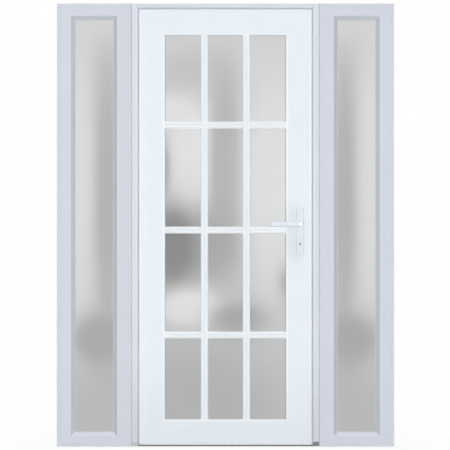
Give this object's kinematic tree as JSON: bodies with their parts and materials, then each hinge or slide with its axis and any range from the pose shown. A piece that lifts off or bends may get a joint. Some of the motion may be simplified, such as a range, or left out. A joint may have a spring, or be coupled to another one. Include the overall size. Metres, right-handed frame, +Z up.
{
  "type": "entrance door with sidelights",
  "caption": "White entrance door with a frosted, barred glass leaf, lever handles and a tall fixed sidelight on each side.",
  "frame": {"origin": "underside of the threshold, midway between the jambs and midway through the frame's depth", "axes": "+X to the right seen from the street side, +Y towards the room, +Z up"},
  "size_m": [1.548, 0.202, 2.032],
  "materials": {
    "leaf_frame": "satin white",
    "glazing_bar": "satin white",
    "door_frame": "satin pale grey",
    "sidelight_frame": "satin pale grey",
    "frosted_glass": "frosted",
    "handle_coating": "gloss white",
    "lock_metal": "brushed",
    "hinge_coating": "gloss white",
    "threshold_metal": "anodised dark grey",
    "foot_plastic": "dark grey",
    "seal_rubber": "grey",
    "coupling_plastic": "grey"
  },
  "bodies": {
    "frame": {"coupling_strip_left": "coupling_plastic", "coupling_strip_right": "coupling_plastic", "door_head": "door_frame", "door_jamb_left": "door_frame", "door_jamb_right": "door_frame", "hinge_frame_halves": "hinge_coating", "hinge_pins": "hinge_coating", "jamb_foot_left": "foot_plastic", "jamb_foot_right": "foot_plastic", "left_sidelight_bottom_rail": "sidelight_frame", "left_sidelight_end_beads": "sidelight_frame", "left_sidelight_glass": "frosted_glass", "left_sidelight_inner_stile": "sidelight_frame", "left_sidelight_outer_stile": "sidelight_frame", "left_sidelight_side_beads": "sidelight_frame", "left_sidelight_top_rail": "sidelight_frame", "lock_keeps": "lock_metal", "right_sidelight_bottom_rail": "sidelight_frame", "right_sidelight_end_beads": "sidelight_frame", "right_sidelight_glass": "frosted_glass", "right_sidelight_inner_stile": "sidelight_frame", "right_sidelight_outer_stile": "sidelight_frame", "right_sidelight_side_beads": "sidelight_frame", "right_sidelight_top_rail": "sidelight_frame", "threshold": "threshold_metal"},
    "leaf": {"leaf_hinge_stile": "leaf_frame", "leaf_lock_stile": "leaf_frame", "leaf_top_rail": "leaf_frame", "leaf_bottom_rail": "leaf_frame", "leaf_glass": "frosted_glass", "leaf_side_beads": "leaf_frame", "leaf_end_beads": "leaf_frame", "leaf_seals": "seal_rubber", "front_upright_bars": "glazing_bar", "front_cross_bars": "glazing_bar", "rear_upright_bars": "glazing_bar", "rear_cross_bars": "glazing_bar", "outer_back_plate": "handle_coating", "inner_back_plate": "handle_coating", "lock_cylinder": "lock_metal", "lock_edge_plate": "lock_metal", "hinge_leaf_halves": "hinge_coating"},
    "handle": {"outer_lever": "handle_coating", "inner_lever": "handle_coating", "spindle": "lock_metal"}
  },
  "joints": [
    {"name": "leaf_swing", "type": "hinge", "parent": "frame", "child": "leaf", "pos_m": [-0.417, 0.062, 1.00575], "axis": [0, 0, 1], "range_deg": [0, 100]},
    {"name": "lever_turn", "type": "hinge", "parent": "leaf", "child": "handle", "pos_m": [0.342, 0.0075, 1.021], "axis": [0, -1, 0], "range_deg": [0, 40], "stiffness_Nm_per_rad": 1, "springref_deg": -28.65}
  ]
}
